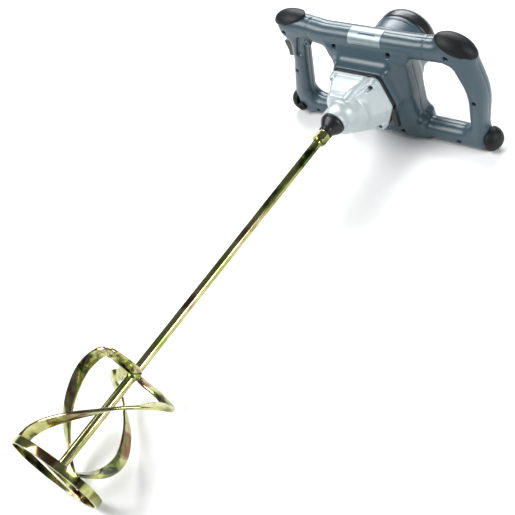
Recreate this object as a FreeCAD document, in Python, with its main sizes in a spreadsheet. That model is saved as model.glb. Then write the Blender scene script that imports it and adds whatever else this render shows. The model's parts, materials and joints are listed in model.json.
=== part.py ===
import FreeCAD, Part
import Sketcher
import math
import os

# Hand-held mortar mixer with its mixing paddle.
# Everything is drawn in the tool's own frame: the spindle turns about the Y axis and points to -Y,
# the two handles stand left (-X) and right (+X), and Y = 0 is the joint between the housing halves.
# At the end the tool is laid down on its two lower bumpers and the paddle's ring, on Z = 0.

doc = FreeCAD.newDocument("MortarMixer")

driving = {
    # handle housing
    "frameDepth": 15.5, "frameRounding": 11.0, "mouldWall": 5.0, "frontWall": 5.5,
    "topBarHeight": 67.0, "topBarBottom": 36.0, "cornerHeight": 72.0,
    "bottomHeight": -106.0, "bottomBarTop": -77.0,
    "leftCorner": -146.0, "rightCorner": 156.0, "leftFoot": -160.0, "rightFoot": 160.0,
    "coreHalfWidth": 61.0, "gripWidth": 25.0, "bellRadius": 55.0, "bellDepth": 45.0,
    "bumperRadius": 18.0, "bumperHeight": -90.0,
    "screwRadius": 2.0, "screwHeadRadius": 3.6, "screwLength": 24.0, "bossRadius": 5.0,
    "headRecess": 4.0, "fitClearance": 0.1, "slideClearance": 0.4,
    "cornerBumperLength": 60.0, "cornerBumperRadius": 19.0,
    "labelLeft": -20.0, "labelLength": 50.0, "labelWidth": 19.0, "labelThickness": 1.2,
    # gear case and its flange
    "flangeFront": -50.0, "flangeBack": -44.0, "plateBack": -40.0, "collarFront": -40.0,
    "flangeTop": 28.0, "flangeTopHalf": 37.0, "flangeWaist": 49.0, "flangeBottom": -62.0,
    "caseFront": -78.0, "noseFront": -112.0, "noseRadius": 18.0, "caseWall": 2.5,
    # drive
    "motorHeight": -9.0, "layHeight": -31.5, "barrelRadius": 45.0, "barrelWall": 3.0,
    "barrelFront": -12.0, "barrelBack": 68.0, "capLength": 27.0, "capRounding": 9.0,
    "armatureRadius": 24.0, "airGap": 0.8, "fanRadius": 29.0, "motorShaftRadius": 4.0,
    "motorBearingRadius": 11.0, "motorBearingWidth": 7.0, "commutatorRadius": 14.0,
    "layShaftRadius": 4.0, "layBearingRadius": 8.0, "layBearingWidth": 5.0,
    "spindleRadius": 8.0, "spindleBearingRadius": 14.0, "spindleBearingWidth": 9.0,
    "fastModule": 1.0, "pinionTeeth": 9.0, "wheelTeeth": 36.0,
    "slowModule": 1.5, "layPinionTeeth": 11.0, "outputTeeth": 31.0, "toothBacklash": 0.25,
    # paddle
    "rodRadius": 6.0, "hubPlace": -542.0, "ringBack": -676.0, "ringWidth": 10.0,
    "ringRadius": 60.0, "ringThickness": 3.5, "ribbonWidth": 15.0, "ribbonThickness": 4.0,
    "ribbonTurn": 176.0, "ribbonStart": 93.0,
    "nutFlats": 17.0, "nutBack": -133.0, "nutFront": -150.0,
    # trigger
    "triggerTravel": 5.0, "triggerHeight": 27.0, "triggerDepth": 16.0, "triggerMiddle": 16.0,
    "triggerFace": -147.0, "triggerReach": 13.0,
    "switchLength": 10.3, "switchWidth": 18.0, "switchLow": 14.0, "switchHigh": 18.0,
}

sheet = doc.addObject("Spreadsheet::Sheet", "Sizes")
for row, (word, value) in enumerate(driving.items(), start=1):
    sheet.set("A%d" % row, word)
    sheet.set("B%d" % row, str(value))
    sheet.setAlias("B%d" % row, word)
doc.recompute()


def size(word):
    return float(sheet.get(word))


def bound(words):
    """An expression with each driving dimension's name turned into a cell of the sheet."""
    text = words
    for word in sorted(driving, key=len, reverse=True):
        text = text.replace(word, "<" + str(list(driving).index(word)) + ">")
    for index, word in enumerate(driving):
        text = text.replace("<" + str(index) + ">", "Sizes." + word)
    return text


V = FreeCAD.Vector
alongY = V(0, 1, 0)
parts = {}


def keep(label, thing):
    thing.Label = label
    parts[label] = thing
    return thing


# ---- PartDesign helpers ----

def originPlane(body, role):
    for feature in body.Origin.OriginFeatures:
        if feature.Role == role:
            return feature
    raise RuntimeError("no plane " + role)


def newBody(label):
    return keep(label, doc.addObject("PartDesign::Body", label))


def newSketch(body, name, role, lift=None, up=None):
    """A sketch on one of the body's own planes, lifted along the plane's normal and moved up in it."""
    sketch = body.newObject("Sketcher::SketchObject", name)
    sketch.AttachmentSupport = [(originPlane(body, role), "")]
    sketch.MapMode = "FlatFace"
    if lift:
        sketch.setExpression("AttachmentOffset.Base.z", bound(lift))
    if up:
        sketch.setExpression("AttachmentOffset.Base.y", bound(up))
    return sketch


def drawPolygon(sketch, corners):
    """A closed outline whose every corner is held by two bound distances from the origin."""
    count = len(corners)
    for index in range(count):
        a = math.radians(-360.0 * index / count)
        b = math.radians(-360.0 * (index + 1) / count)
        start = V(50 + 10 * math.cos(a), 10 * math.sin(a), 0)
        end = V(50 + 10 * math.cos(b), 10 * math.sin(b), 0)
        sketch.addGeometry(Part.LineSegment(start, end), False)
    for index in range(count):
        sketch.addConstraint(Sketcher.Constraint("Coincident", index, 2, (index + 1) % count, 1))
    for index, (across, along) in enumerate(corners):
        for kind, words in (("DistanceX", across), ("DistanceY", along)):
            if words == "0" and kind == "DistanceX":
                sketch.addConstraint(Sketcher.Constraint("PointOnObject", index, 1, -2))
                continue
            place = sketch.addConstraint(Sketcher.Constraint(kind, -1, 1, index, 1, 1.0))
            sketch.setExpression("Constraints[%d]" % place, bound(words))


def turned(label, corners, axisHeight=None):
    """A body turned about the Y axis from (radius, y) corners, raised to its own axis height."""
    body = newBody(label)
    sketch = newSketch(body, label + "Profile", "XY_Plane", axisHeight)
    drawPolygon(sketch, corners)
    turning = body.newObject("PartDesign::Revolution", label + "Turning")
    turning.Profile = sketch
    turning.ReferenceAxis = (sketch, ["V_Axis"])
    turning.Angle = 360
    sketch.Visibility = False
    return body


def tube(inner, outer, back, front):
    return [(inner, front), (outer, front), (outer, back), (inner, back)]


# ---- outlines in the X-Z plane, made of lines and tangent arcs ----

def roundedWire(corners, y=0.0):
    """corners: (x, z, radius). Each corner is a tangent arc, shortened where its sides are short."""
    edges = []
    ends = []
    count = len(corners)
    for index, (x, z, radius) in enumerate(corners):
        here = V(x, y, z)
        before = corners[index - 1]
        after = corners[(index + 1) % count]
        toBefore = V(before[0], y, before[1]).sub(here)
        toAfter = V(after[0], y, after[1]).sub(here)
        half = toBefore.getAngle(toAfter) / 2
        reach = min(radius / math.tan(half), 0.48 * toBefore.Length, 0.48 * toAfter.Length)
        toBefore.normalize()
        toAfter.normalize()
        first = here.add(V(toBefore).multiply(reach))
        last = here.add(V(toAfter).multiply(reach))
        inward = toBefore.add(toAfter).normalize()
        bow = reach * math.tan(half)
        middle = here.add(inward.multiply(bow / math.sin(half) - bow))
        ends.append((first, middle, last))
    for index, (first, middle, last) in enumerate(ends):
        edges.append(Part.Arc(first, middle, last).toShape())
        edges.append(Part.LineSegment(last, ends[(index + 1) % count][0]).toShape())
    return Part.Wire(edges)


def prism(wire, length, holes=()):
    face = Part.makeFace([wire] + list(holes), "Part::FaceMakerBullseye")
    return face.extrude(V(0, length, 0))


def grown(wire, distance):
    return wire.makeOffset2D(distance)


def pin(radius, back, front, x=0.0, z=0.0):
    """A round bar along Y between two places."""
    return Part.makeCylinder(radius, abs(back - front), V(x, min(back, front), z), alongY)


def solidFeature(label, shape):
    feature = doc.addObject("Part::Feature", label)
    feature.Shape = shape
    return keep(label, feature)


# ---- handle housing ----

left = size("leftCorner")
right = size("rightCorner")
barTop = size("topBarHeight")
barBottom = size("bottomBarTop")
floor = size("bottomHeight")
core = size("coreHalfWidth")
depth = size("frameDepth")

barUnder = size("topBarBottom")
cornerTop = size("cornerHeight")
leftFoot = size("leftFoot")
rightFoot = size("rightFoot")
outerCorners = [
    (left, cornerTop, 20), (left + 48, cornerTop, 40), (-70, barTop, 60), (72, barTop, 60),
    (right - 45, cornerTop - 3, 40), (right, cornerTop - 2, 22), (right + 16, -4, 110),
    (rightFoot, barBottom + 12, 25), (rightFoot, floor, 14), (0, floor + 5, 900),
    (leftFoot, floor, 14), (leftFoot, barBottom + 14, 30), (left + 7, 2, 80), (left + 13, 33, 10),
    (left, 46, 12),
]
leftInner = left + 8 + size("gripWidth")
leftOpeningCorners = [
    (leftInner + 6, barUnder, 12), (-core, barUnder, 36), (-core, barBottom, 14),
    (leftInner - 22, barBottom, 14),
]
rightOpeningCorners = [
    (core, barUnder, 14), (right - 29, barUnder + 2, 14), (right - 13, -6, 80),
    (right - 20, barBottom, 18), (core - 5, barBottom, 18),
]
flangeCorners = [
    (-size("flangeTopHalf"), size("flangeTop"), 8), (size("flangeTopHalf"), size("flangeTop"), 8),
    (size("flangeWaist"), -20, 12), (30, size("flangeBottom"), 12), (-30, size("flangeBottom"), 12),
    (-size("flangeWaist"), -20, 12),
]
outerWire = roundedWire(outerCorners)
openingWires = [roundedWire(leftOpeningCorners), roundedWire(rightOpeningCorners)]
flangeWire = roundedWire(flangeCorners)
screwPlaces = [
    (left + 12, 52), (-47, 44), (40, 44), (right - 29, 53), (right - 2, -17), (118, floor + 12),
    (32, floor + 14), (-122, floor + 12), (left + 10, -19), (-68, floor + 14),
]


def frameHalf(side):
    """One closed half of the frame, rounded at its outer face: side is -1 in front, +1 at the rear."""
    solid = prism(outerWire, side * depth, openingWires)
    rim = [edge for edge in solid.Edges
           if all(abs(vertex.Point.y - side * depth) < 1e-4 for vertex in edge.Vertexes)]
    return solid.makeFillet(size("frameRounding"), rim)


def frameHollow(side):
    inner = grown(outerWire, -size("mouldWall"))
    holes = [grown(wire, size("mouldWall")) for wire in openingWires]
    return prism(inner, side * (depth - size("frontWall")), holes)


def screwPosts(side):
    end = side * (depth - size("frontWall") + 1)
    posts = [pin(size("bossRadius"), 0, end, x, z) for x, z in screwPlaces]
    return Part.makeCompound(posts)


motorZ = size("motorHeight")
barrelSeat = size("barrelRadius") + size("fitClearance")
triggerBox = Part.makeBox(
    5 + size("triggerReach") + size("triggerTravel") + size("slideClearance"),
    size("triggerDepth") + 2 * size("slideClearance"), size("triggerHeight") + 2 * size("slideClearance"),
    V(size("triggerFace") - 5, -size("triggerDepth") / 2 - size("slideClearance"),
      size("triggerMiddle") - size("triggerHeight") / 2 - size("slideClearance")))
switchFront = size("triggerFace") + size("triggerReach") + size("triggerTravel") + 0.2
switchBox = Part.makeBox(
    size("switchLength") + 1, size("switchWidth") + 1, size("switchLow") + size("switchHigh") + 1,
    V(switchFront - 0.5, -size("switchWidth") / 2 - 0.5, size("triggerMiddle") - size("switchLow") - 0.5))
coreKeep = Part.makeBox(2 * core - 8, 3 * depth, 146, V(-core + 4, -1.5 * depth, floor + 6))
frameHalves = {-1: frameHalf(-1), 1: frameHalf(1)}


def hollowedHalf(side):
    hollow = frameHollow(side).cut(coreKeep)
    hollow = hollow.cut(screwPosts(side))
    return frameHalves[side].cut(hollow)


collarLength = -size("collarFront") - depth / 2
collarFace = roundedWire([(x * 1.06, z * 1.05, r) for x, z, r in flangeCorners], -depth / 2)
collar = prism(collarFace, -collarLength)
fanChamber = pin(size("fanRadius") + 3, size("collarFront") - 1, size("barrelFront"), 0, motorZ)

frontShape = hollowedHalf(-1).fuse(collar)
frontShape = frontShape.cut(pin(barrelSeat, size("barrelFront") - 0.5, 1, 0, motorZ)).cut(fanChamber)
gripRecess = Part.makeBox(24, 3, 30, V(left + 24, -depth - 1, 10))
gripRecess = gripRecess.makeFillet(3, [edge for edge in gripRecess.Edges if abs(edge.tangentAt(0).y) > 0.9])
frontShape = frontShape.cut(gripRecess).cut(triggerBox).cut(switchBox)

bell = pin(size("bellRadius"), 0, size("bellDepth"), 0, motorZ)
bell = bell.makeFillet(9, [edge for edge in bell.Edges if edge.BoundBox.YMin > size("bellDepth") - 1])
rearShape = hollowedHalf(1).fuse(bell)
rearShape = rearShape.cut(pin(barrelSeat, -1, size("bellDepth") + 1, 0, motorZ))
rearShape = rearShape.cut(triggerBox).cut(switchBox)

headFloor = -depth + size("headRecess")
screws = []
for x, z in screwPlaces:
    shank = pin(size("screwRadius"), headFloor, headFloor + size("screwLength"), x, z)
    head = pin(size("screwHeadRadius"), headFloor, headFloor - 2.2, x, z)
    screws.append(shank.fuse(head).removeSplitter())
    clear = size("fitClearance")
    shankHole = pin(size("screwRadius") + clear, headFloor - 1, headFloor + size("screwLength") + 1, x, z)
    headHole = pin(size("screwHeadRadius") + 0.3, headFloor, -depth - 12, x, z)
    frontShape = frontShape.cut(shankHole).cut(headHole)
    rearShape = rearShape.cut(shankHole)

glandPlace = (leftFoot + 10, floor + 16)
glandHole = pin(7.1, -depth - 1, -6, *glandPlace)
frontShape = frontShape.cut(glandHole)
labelPlace = V(size("labelLeft"), -size("labelWidth") / 2, barTop - size("labelThickness"))
labelGap = 0.2
plateWells = Part.makeBox(size("labelLength") + 2 * labelGap, size("labelWidth") + 2 * labelGap, 3,
                          labelPlace.sub(V(labelGap, labelGap, 0)))
frontShape = frontShape.cut(plateWells)
rearShape = rearShape.cut(plateWells)

solidFeature("front_housing", frontShape.removeSplitter())
solidFeature("rear_housing", rearShape.removeSplitter())
solidFeature("housing_screws", Part.makeCompound(screws))


# ---- bumpers: balls and a long ball, cut to sit on the housing's corners ----

frameBlock = doc.addObject("Part::Feature", "frameBlock")
frameBlock.Shape = frameHalves[-1].fuse(frameHalves[1])


def cornerBumper(label, place, turn):
    """A long rubber ball over an upper corner, hollowed to the corner it sits on."""
    ball = doc.addObject("Part::Ellipsoid", label + "Ball")
    ball.setExpression("Radius1", bound("cornerBumperRadius"))
    ball.setExpression("Radius2", bound("cornerBumperLength / 2"))
    ball.setExpression("Radius3", bound("cornerBumperRadius"))
    ball.Angle1 = -90
    ball.Placement = FreeCAD.Placement(V(*place), FreeCAD.Rotation(V(0, 1, 0), turn))
    fitted = doc.addObject("Part::Cut", label)
    fitted.Base = ball
    fitted.Tool = frameBlock
    keep(label, fitted)


def footBumper(label, foot, turn):
    """A rubber half ball on an end of the bottom bar."""
    dome = doc.addObject("Part::Sphere", label)
    dome.setExpression("Radius", bound("bumperRadius"))
    dome.Angle1 = 0
    place = V(foot, 0, size("bumperHeight"))
    dome.Placement = FreeCAD.Placement(place, FreeCAD.Rotation(V(0, 1, 0), turn))
    keep(label, dome)


cornerBumper("bumper_top_left", (left + 22, 0, cornerTop - 10), 0)
cornerBumper("bumper_top_right", (right - 18, 0, cornerTop - 13), 28)
footBumper("bumper_bottom_left", leftFoot, -90)
footBumper("bumper_bottom_right", rightFoot, 90)

plate = doc.addObject("Part::Box", "label_plate")
plate.setExpression("Length", bound("labelLength"))
plate.setExpression("Width", bound("labelWidth"))
plate.setExpression("Height", bound("labelThickness"))
plate.Placement.Base = labelPlace
keep("label_plate", plate)

gland = turned("cable_gland", [("3.5", "-7"), ("7", "-7"), ("7", "-frameDepth"), ("5", "-frameDepth - 3"),
                               ("3.5", "-frameDepth - 3")])
gland.Placement.Base = V(glandPlace[0], 0, glandPlace[1])


# ---- trigger and switch ----

trigger = newBody("trigger")
triggerSketch = newSketch(trigger, "triggerOutline", "XZ_Plane", "-triggerDepth / 2")
half = "triggerHeight / 2"
drawPolygon(triggerSketch, [
    ("triggerFace + 1.5", "triggerMiddle - " + half),
    ("triggerFace + triggerReach", "triggerMiddle - " + half),
    ("triggerFace + triggerReach", "triggerMiddle + " + half), ("triggerFace", "triggerMiddle + " + half),
    ("triggerFace", "triggerMiddle - " + half + " + 4")])
triggerPad = trigger.newObject("PartDesign::Pad", "triggerPad")
triggerPad.Profile = triggerSketch
triggerPad.setExpression("Length", bound("triggerDepth"))

switchBody = newBody("switch_module")
switchSketch = newSketch(switchBody, "switchOutline", "XZ_Plane", "-switchWidth / 2")
near = "triggerFace + triggerReach + triggerTravel + 0.2"
far = near + " + switchLength"
drawPolygon(switchSketch, [
    (near, "triggerMiddle - switchLow"), (far, "triggerMiddle - switchLow"),
    (far, "triggerMiddle + switchHigh"), (near, "triggerMiddle + switchHigh")])
switchPad = switchBody.newObject("PartDesign::Pad", "switchPad")
switchPad.Profile = switchSketch
switchPad.setExpression("Length", bound("switchWidth"))


# ---- motor ----

turned("field_housing", [
    ("barrelRadius - barrelWall", "barrelFront"), ("barrelRadius", "barrelFront"),
    ("barrelRadius", "barrelBack"), ("motorShaftRadius + 2", "barrelBack"),
    ("motorShaftRadius + 2", "barrelBack - 2"), ("motorBearingRadius", "barrelBack - 2"),
    ("motorBearingRadius", "barrelBack - 2 - motorBearingWidth"),
    ("motorBearingRadius + 3", "barrelBack - 2 - motorBearingWidth"),
    ("motorBearingRadius + 3", "barrelBack - 4"),
    ("barrelRadius - barrelWall", "barrelBack - 4")], "motorHeight")
cap = turned("motor_end_cap", [
    ("0", "barrelBack + capLength"), ("barrelRadius - capRounding", "barrelBack + capLength"),
    ("barrelRadius - capRounding * 0.3", "barrelBack + capLength - capRounding * 0.3"),
    ("barrelRadius", "barrelBack + capLength - capRounding"), ("barrelRadius", "barrelBack"),
    ("barrelRadius - barrelWall", "barrelBack"),
    ("barrelRadius - barrelWall", "barrelBack + capLength - capRounding - 1"),
    ("barrelRadius - capRounding - 1", "barrelBack + capLength - barrelWall"),
    ("0", "barrelBack + capLength - barrelWall")], "motorHeight")
doc.recompute()


def repeated(body, feature, axisSketch, count):
    pattern = body.newObject("PartDesign::PolarPattern", feature.Name + "Ring")
    pattern.Originals = [feature]
    pattern.Axis = (axisSketch, ["N_Axis"])
    pattern.Angle = 360
    pattern.Occurrences = count
    body.Tip = pattern
    return pattern


slotSketch = newSketch(cap, "airSlot", "XZ_Plane", "-barrelBack - capLength - 1", "motorHeight")
slotEnd = "barrelRadius - 15"
drawPolygon(slotSketch, [("-1.5", "14"), ("1.5", "14"), ("1.5", slotEnd), ("-1.5", slotEnd)])
solidCap = cap.Shape.Volume
slot = cap.newObject("PartDesign::Pocket", "airSlotPocket")
slot.Profile = slotSketch
slot.Reversed = True
slot.Length = 8
doc.recompute()
if cap.Shape.Volume > solidCap - 1:
    slot.Reversed = False
repeated(cap, slot, slotSketch, 12)

shaftSeat = "motorShaftRadius + 0.02"
turned("stator", tube("armatureRadius + airGap", "barrelRadius - barrelWall - fitClearance",
                      "barrelBack - 33", "barrelFront + 3"), "motorHeight")
turned("armature_core", tube(shaftSeat, "armatureRadius", "barrelBack - 35", "barrelFront + 5"),
       "motorHeight")
turned("commutator", tube(shaftSeat, "commutatorRadius", "barrelBack - 13", "barrelBack - 26"),
       "motorHeight")
fan = turned("cooling_fan", [
    (shaftSeat, "-32"), ("9", "-32"), ("9", "-25"), ("fanRadius", "-23"), ("fanRadius", "-21.5"),
    (shaftSeat, "-21.5")], "motorHeight")
doc.recompute()
bladeSketch = newSketch(fan, "fanBlade", "XZ_Plane", "22.5", "motorHeight")
drawPolygon(bladeSketch, [("-0.8", "8"), ("0.8", "8"), ("5.6", "fanRadius - 2"), ("4", "fanRadius - 2")])
blade = fan.newObject("PartDesign::Pad", "fanBladePad")
blade.Profile = bladeSketch
blade.Length = 9
doc.recompute()
repeated(fan, blade, bladeSketch, 11)

for label, back in (("motor_bearing_front", "plateBack + motorBearingWidth"),
                    ("motor_bearing_rear", "barrelBack - 2")):
    turned(label, tube("motorShaftRadius + 0.05", "motorBearingRadius - 0.02",
                       back, back + " - motorBearingWidth"), "motorHeight")

brushMiddle = size("barrelBack") - 19.5


def motorBlock(side, start, length, width, height):
    """A block lying across the motor's axis, start to start + length away from it on one side."""
    near = min(side * start, side * (start + length))
    return Part.makeBox(length, width, height, V(near, brushMiddle - width / 2, motorZ - height / 2))


brushes = []
holders = []
brushStart = size("commutatorRadius") + 0.3
for side in (-1, 1):
    brushes.append(motorBlock(side, brushStart, 16, 6, 8))
    brushWay = motorBlock(side, brushStart, 30, 6.2, 8.2)
    holders.append(motorBlock(side, brushStart + 3.5, 22, 10, 12).cut(brushWay))
solidFeature("carbon_brushes", Part.makeCompound(brushes))
solidFeature("brush_holders", Part.makeCompound(holders))


# ---- gears ----

def gear(teeth, module, back, front, z, phase):
    """An involute spur gear about Y. Flanks are sampled from the involute of the base circle."""
    pressure = math.radians(20)
    pitch = teeth * module / 2
    base = pitch * math.cos(pressure)
    tip = pitch + 0.9 * module
    root = pitch - 1.15 * module
    halfTooth = math.pi / (2 * teeth) - size("toothBacklash") / (2 * pitch)
    involuteAtPitch = math.tan(pressure) - pressure

    def halfAngle(radius):
        turn = math.acos(min(1.0, base / radius))
        return halfTooth + involuteAtPitch - (math.tan(turn) - turn)

    low = max(base, root)
    steps = [low + (tip - low) * k / 4 for k in range(5)]
    edges = []
    points = []
    for tooth in range(int(teeth)):
        middle = 2 * math.pi * (tooth + phase) / teeth
        rising = [(root, -halfAngle(low))] + [(radius, -halfAngle(radius)) for radius in steps]
        falling = [(radius, -angle) for radius, angle in reversed(rising)]
        for radius, angle in rising + falling:
            turn = middle + angle
            points.append(V(radius * math.sin(turn), front, z + radius * math.cos(turn)))
    corners = [points[0]]
    for point in points[1:]:
        if point.distanceToPoint(corners[-1]) > 1e-4:
            corners.append(point)
    outline = Part.makePolygon(corners + [corners[0]])
    return Part.Face(outline).extrude(V(0, back - front, 0))


layZ = size("layHeight")
pinion = gear(size("pinionTeeth"), size("fastModule"), -45, -54, motorZ, 0.5)
motorShaft = pin(size("motorShaftRadius"), size("barrelBack") - 2, -45, 0, motorZ)
solidFeature("armature_shaft", motorShaft.fuse(pinion).removeSplitter())
wheel = gear(size("wheelTeeth"), size("fastModule"), -46, -53, layZ, 0.5)
solidFeature("lay_gear", wheel.cut(pin(size("layShaftRadius") + 0.02, -40, -60, 0, layZ)))
layPinion = gear(size("layPinionTeeth"), size("slowModule"), -58, -73, layZ, 0)
layShaft = pin(size("layShaftRadius"), -39, -79, 0, layZ)
solidFeature("lay_shaft", layShaft.fuse(layPinion).removeSplitter())
# a tooth gap of the output gear faces the lay pinion's tooth, straight below the spindle
outputPhase = 0.5 * (1 - int(size("outputTeeth")) % 2)
output = gear(size("outputTeeth"), size("slowModule"), -60, -71, 0, outputPhase)
solidFeature("output_gear", output.cut(pin(size("spindleRadius") + 0.02, -50, -80)))

layClear = "layShaftRadius + 0.05"
turned("lay_bearing_rear",
       tube(layClear, "layBearingRadius - 0.02", "-39", "-39 - layBearingWidth"), "layHeight")
turned("lay_bearing_front",
       tube(layClear, "layBearingRadius - 0.02", "-74.2", "-74.2 - layBearingWidth"), "layHeight")
spindleClear = "spindleRadius + 0.05"
spindleFit = "spindleBearingRadius - 0.02"
turned("spindle_bearing_rear", tube(spindleClear, spindleFit, "-75", "-75 - spindleBearingWidth"))
turned("spindle_bearing_front", tube(spindleClear, spindleFit, "-96", "-96 - spindleBearingWidth"))
turned("spindle_seal", tube("spindleRadius + 1.05", spindleFit, "-105.5", "noseFront"))


# ---- gear case and bearing plate ----

caseCorners = [(x * 0.95, z * 0.965, r) for x, z, r in flangeCorners]
flangeBack = size("flangeBack")
flangePlate = prism(roundedWire(flangeCorners, flangeBack), size("flangeFront") - flangeBack)
caseBlock = prism(roundedWire(caseCorners, flangeBack), -32)
shoulder = Part.makeCone(62, 34, 40, V(0, -47, -12), V(0, -1, 0))
caseBlock = caseBlock.common(shoulder)
neck = Part.makeCone(36, size("noseRadius"), 22, V(0, -74, 0), V(0, -1, 0))
lowerBulge = Part.makeCone(24, 12, 18, V(0, -74, layZ), V(0, -1, 0))
nose = pin(size("noseRadius"), -90, size("noseFront"))
neck = neck.common(prism(roundedWire(caseCorners, -70), -40))
case = flangePlate.fuse([caseBlock, neck, lowerBulge, nose])
bosses = [(-30, 21), (31, 21), (27, -50), (-27, -50)]
for x, z in bosses:
    case = case.fuse(pin(6.5, flangeBack, size("flangeFront") - 4, x, z).common(
        prism(roundedWire(flangeCorners, flangeBack), -20)))
for radius, z in ((size("slowModule") * (size("outputTeeth") / 2 + 1) + 0.8, 0),
                  (size("fastModule") * (size("wheelTeeth") / 2 + 1) + 0.8, layZ), (9, motorZ)):
    case = case.cut(pin(radius, flangeBack + 1, -74.2, 0, z))
for radius, back, front, z in (
        (size("layBearingRadius"), -70, -79.4, layZ), (size("spindleBearingRadius"), -70, -84, 0),
        (11.5, -80, -100, 0), (size("spindleBearingRadius"), -96, -120, 0)):
    case = case.cut(pin(radius, back, front, 0, z))
caseScrews = []
for x, z in bosses:
    case = case.cut(pin(size("screwRadius") + size("fitClearance"), -30, -60, x, z))
    case = case.cut(pin(4.0, -51.5, -60, x, z))
    screw = pin(size("screwRadius"), -30, -51.5, x, z).fuse(pin(3.6, -51.5, -53.5, x, z))
    caseScrews.append(screw.removeSplitter())
solidFeature("gear_case", case.removeSplitter())
solidFeature("gear_case_screws", Part.makeCompound(caseScrews))

plateBack = size("plateBack")
plateShape = prism(roundedWire(flangeCorners, plateBack), flangeBack - plateBack)
guardLug = Part.makeBox(7, 6, 34, V(43, -46, -56)).cut(prism(roundedWire(flangeCorners, -30), -30))
plateShape = plateShape.fuse([
    pin(size("motorBearingRadius") + 3, plateBack, plateBack + size("motorBearingWidth"), 0, motorZ),
    pin(size("layBearingRadius") + 2.5, plateBack, -37, 0, layZ), guardLug])
for radius, back, front, z in (
        (size("motorBearingRadius"), -20, plateBack, motorZ), (6, -20, -60, motorZ),
        (size("layBearingRadius"), -30, -60, layZ)):
    plateShape = plateShape.cut(pin(radius, back, front, 0, z))
for x, z in bosses:
    plateShape = plateShape.cut(pin(size("screwRadius") + size("fitClearance"), -30, -60, x, z))
    frontShape = frontShape.cut(pin(size("screwRadius") + size("fitClearance"), -29, -60, x, z))
solidFeature("bearing_plate", plateShape.removeSplitter())
frontShape = frontShape.cut(pin(size("layBearingRadius") + 2.8, -35, -60, 0, layZ))
parts["front_housing"].Shape = frontShape.removeSplitter()


# ---- spindle and paddle ----

turned("spindle", [
    ("0", "-58"), ("spindleRadius", "-58"), ("spindleRadius", "-105.2"), ("spindleRadius + 1", "-105.4"),
    ("spindleRadius + 1", "noseFront - 0.5"), ("16", "noseFront - 0.5"), ("15.5", "noseFront - 4"),
    ("10.5", "noseFront - 12"), ("9.8", "nutBack"), ("7.05", "nutBack"), ("7.05", "nutBack + 18"),
    ("0", "nutBack + 18")])
turned("paddle_thread", [("0", "nutBack + 17"), ("7", "nutBack + 17"), ("7", "nutBack"), ("0", "nutBack")])
nut = doc.addObject("Part::Prism", "nutBlock")
nut.Polygon = 6
nut.setExpression("Circumradius", bound("nutFlats / 2 / cos(30)"))
nut.setExpression("Height", bound("nutBack - nutFront"))
nut.Placement = FreeCAD.Placement(V(0, size("nutBack"), 0), FreeCAD.Rotation(V(1, 0, 0), 90))
chamferCone = doc.addObject("Part::Cone", "nutChamfer")
chamferCone.setExpression("Radius1", bound("nutFlats / 2 + 8"))
chamferCone.setExpression("Radius2", bound("nutFlats / 2 - 0.4"))
chamferCone.setExpression("Height", bound("nutBack - nutFront"))
chamferCone.Placement = nut.Placement
nutCommon = doc.addObject("Part::Common", "hex_adapter")
nutCommon.Base = nut
nutCommon.Tool = chamferCone
keep("hex_adapter", nutCommon)
turned("paddle_rod", tube("0", "rodRadius", "nutFront", "ringBack - 4"))
turned("bottom_ring", tube("ringRadius - ringThickness", "ringRadius", "ringBack", "ringBack - ringWidth"))


# a ribbon's middle line from the hub to the ring, as shares of the ring's radius, of the ribbon's turn
# and of the way from the hub to the ring
ribbonStations = [
    (0.12, -0.29, 0.0), (0.5, -0.05, 0.02), (0.83, -0.03, 0.05), (0.94, 0.02, 0.08), (0.87, 0.13, 0.16),
    (0.79, 0.33, 0.35), (0.78, 0.49, 0.53), (0.8, 0.67, 0.72), (0.83, 0.84, 0.88), (0.86, 1.0, 1.0),
]


def between(a, b, c, d, u):
    """A smooth curve from b to c that leaves and arrives in the directions of its neighbours a and d."""
    bend = (2 * a - 5 * b + 4 * c - d) * u * u + (3 * b - a - 3 * c + d) * u ** 3
    return 0.5 * (2 * b + (c - a) * u + bend)


def ribbonPoint(t):
    """A point of the middle line, t from 0 at the hub to 1 at the ring."""
    last = len(ribbonStations) - 1
    index = min(int(t * last), last - 1)
    near = [ribbonStations[min(max(index + k, 0), last)] for k in (-1, 0, 1, 2)]
    reach, turn, fall = [between(*shares, t * last - index) for shares in zip(*near)]
    radius = reach * size("ringRadius")
    angle = math.radians(size("ribbonStart") + size("ribbonTurn") * turn)
    y = size("hubPlace") + (size("ringBack") - size("hubPlace")) * fall
    return V(radius * math.cos(angle), y, radius * math.sin(angle))


def ribbonSection(t):
    """A flat bar's section: across the axis at the hub, and standing out like an auger below it."""
    here = ribbonPoint(t)
    along = ribbonPoint(min(1.02, t + 0.02)).sub(ribbonPoint(max(0.0, t - 0.02))).normalize()
    outward = V(here.x, 0, here.z).normalize()
    blend = min(1.0, max(0.0, (t - 0.16) / 0.34))
    blend = blend * blend * (3 - 2 * blend)
    auger = outward.cross(along)
    if auger.y > 0:
        auger = auger.negative()
    face = V(0, -(1 - blend), 0).add(auger.multiply(blend))
    face = face.sub(V(along).multiply(face.dot(along))).normalize()
    a = face.cross(along).multiply(size("ribbonWidth") / 2)
    b = face.multiply(size("ribbonThickness") / 2)
    ring = [here.add(a).add(b), here.add(a).sub(b), here.sub(a).sub(b), here.sub(a).add(b)]
    return Part.makePolygon(ring + [ring[0]])


sections = 31
ribbon = Part.makeLoft([ribbonSection(1.01 * k / (sections - 1)) for k in range(sections)], True, False)
ribbon = ribbon.cut(pin(size("rodRadius") + 0.02, size("hubPlace") + 40, size("ringBack") - 20))
ribbon = ribbon.cut(pin(100, size("ringBack"), size("ringBack") - 60))
for number in range(3):
    turnedRibbon = ribbon.copy()
    turnedRibbon.rotate(V(0, 0, 0), V(0, -1, 0), 120 * number)
    solidFeature("ribbon_%d" % (number + 1), turnedRibbon)

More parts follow.
